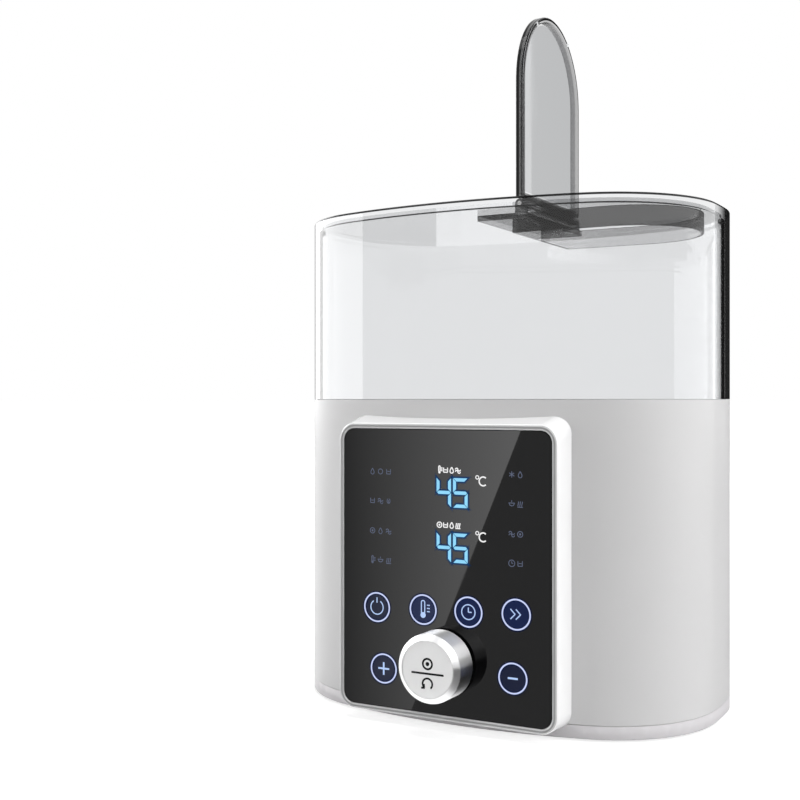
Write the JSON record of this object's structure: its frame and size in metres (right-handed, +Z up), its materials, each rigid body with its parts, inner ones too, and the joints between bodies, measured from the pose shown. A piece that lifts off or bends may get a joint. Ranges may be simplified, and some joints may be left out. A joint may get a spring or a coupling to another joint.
{
  "type": "double bottle warmer",
  "caption": "Countertop bottle warmer: oval white body, black touch panel with a turn-and-press knob, clear lift-off hood with a hinged lid over an arched opening.",
  "frame": {"origin": "centre of the oval footprint, on the surface that the feet stand on", "axes": "+Z up, +X towards the end with the hinged lid, -Y towards the control panel"},
  "size_m": [0.21, 0.1683, 0.3404],
  "materials": {
    "body_white": "satin moulded plastic",
    "tray_grey": "fine moulded texture",
    "foot_rubber": "matt moulded rubber",
    "screw_steel": "zinc plated",
    "silicone": "translucent grey",
    "tank_coating": "grey non-stick coating, faint fleck",
    "heater_aluminium": "as cast",
    "element_steel": "drawn",
    "black_part": "moulded black",
    "board_green": "solder mask",
    "lead_white": "silicone insulation",
    "pin_brass": "bright",
    "bezel_pearl": "pearl silver-white gloss lacquer",
    "panel_glass": "glossy, black printed behind",
    "collar_black": "satin black",
    "knob_chrome": "mirror plated",
    "knob_disc": "satin silver",
    "hood_clear": "clear polished plastic",
    "lid_smoke": "dark smoke-tinted clear plastic",
    "lid_window": "pale smoke-tinted clear plastic",
    "rack_grey": "food-safe moulded plastic"
  },
  "bodies": {
    "base": {"base_tray": "tray_grey", "rubber_feet": "foot_rubber", "tray_screws": "screw_steel", "outer_shell": "body_white", "top_deck": "body_white", "tank_gasket": "silicone", "water_tank": "tank_coating", "tank_screws": "screw_steel", "heater_plate": "heater_aluminium", "heater_element": "element_steel", "heater_clamps": "element_steel", "heater_screws": "screw_steel", "thermal_cutoff": "black_part", "temperature_probe": "element_steel", "power_board": "board_green", "power_components": "black_part", "board_screws": "screw_steel", "buzzer": "black_part", "heater_leads": "lead_white", "mains_inlet": "black_part", "inlet_pins": "pin_brass", "inlet_leads": "lead_white", "control_bezel": "bezel_pearl", "panel_screws": "screw_steel", "front_glass": "panel_glass", "glass_seal": "black_part", "display_board": "board_green", "upper_display": "black_part", "lower_display": "black_part", "touch_springs": "screw_steel", "encoder_body": "black_part", "encoder_nut": "screw_steel", "knob_collar": "collar_black"},
    "hood": {"hood_seal": "silicone", "hood_wall": "hood_clear", "hood_top": "hood_clear", "opening_collar": "lid_smoke", "hinge_bracket": "lid_smoke", "hinge_pin": "element_steel"},
    "lid": {"lid_rim": "lid_smoke", "lid_panel": "lid_window", "lid_bumpers": "silicone"},
    "rack": {"bottle_rack": "rack_grey", "rack_pads": "silicone"},
    "plunger": {"encoder_plunger": "element_steel"},
    "knob": {"encoder_shaft": "element_steel", "knob_body": "knob_chrome", "knob_face": "knob_disc"}
  },
  "joints": [
    {"name": "hood_lift", "type": "slide", "parent": "base", "child": "hood", "axis": [0, 0, 1], "range_m": [0, 0.12]},
    {"name": "lid_hinge", "type": "hinge", "parent": "hood", "child": "lid", "pos_m": [0.0185, 0, 0.2434], "axis": [0, 1, 0], "range_deg": [0, 90]},
    {"name": "rack_lift", "type": "slide", "parent": "base", "child": "rack", "axis": [0, 0, 1], "range_m": [0, 0.06]},
    {"name": "knob_press", "type": "slide", "parent": "base", "child": "plunger", "axis": [0, 1, 0], "range_m": [0, 0.0008], "stiffness_N_per_m": 4000},
    {"name": "knob_turn", "type": "hinge", "parent": "plunger", "child": "knob", "pos_m": [0, -0.09, 0.031], "axis": [0, -1, 0], "continuous": true}
  ]
}
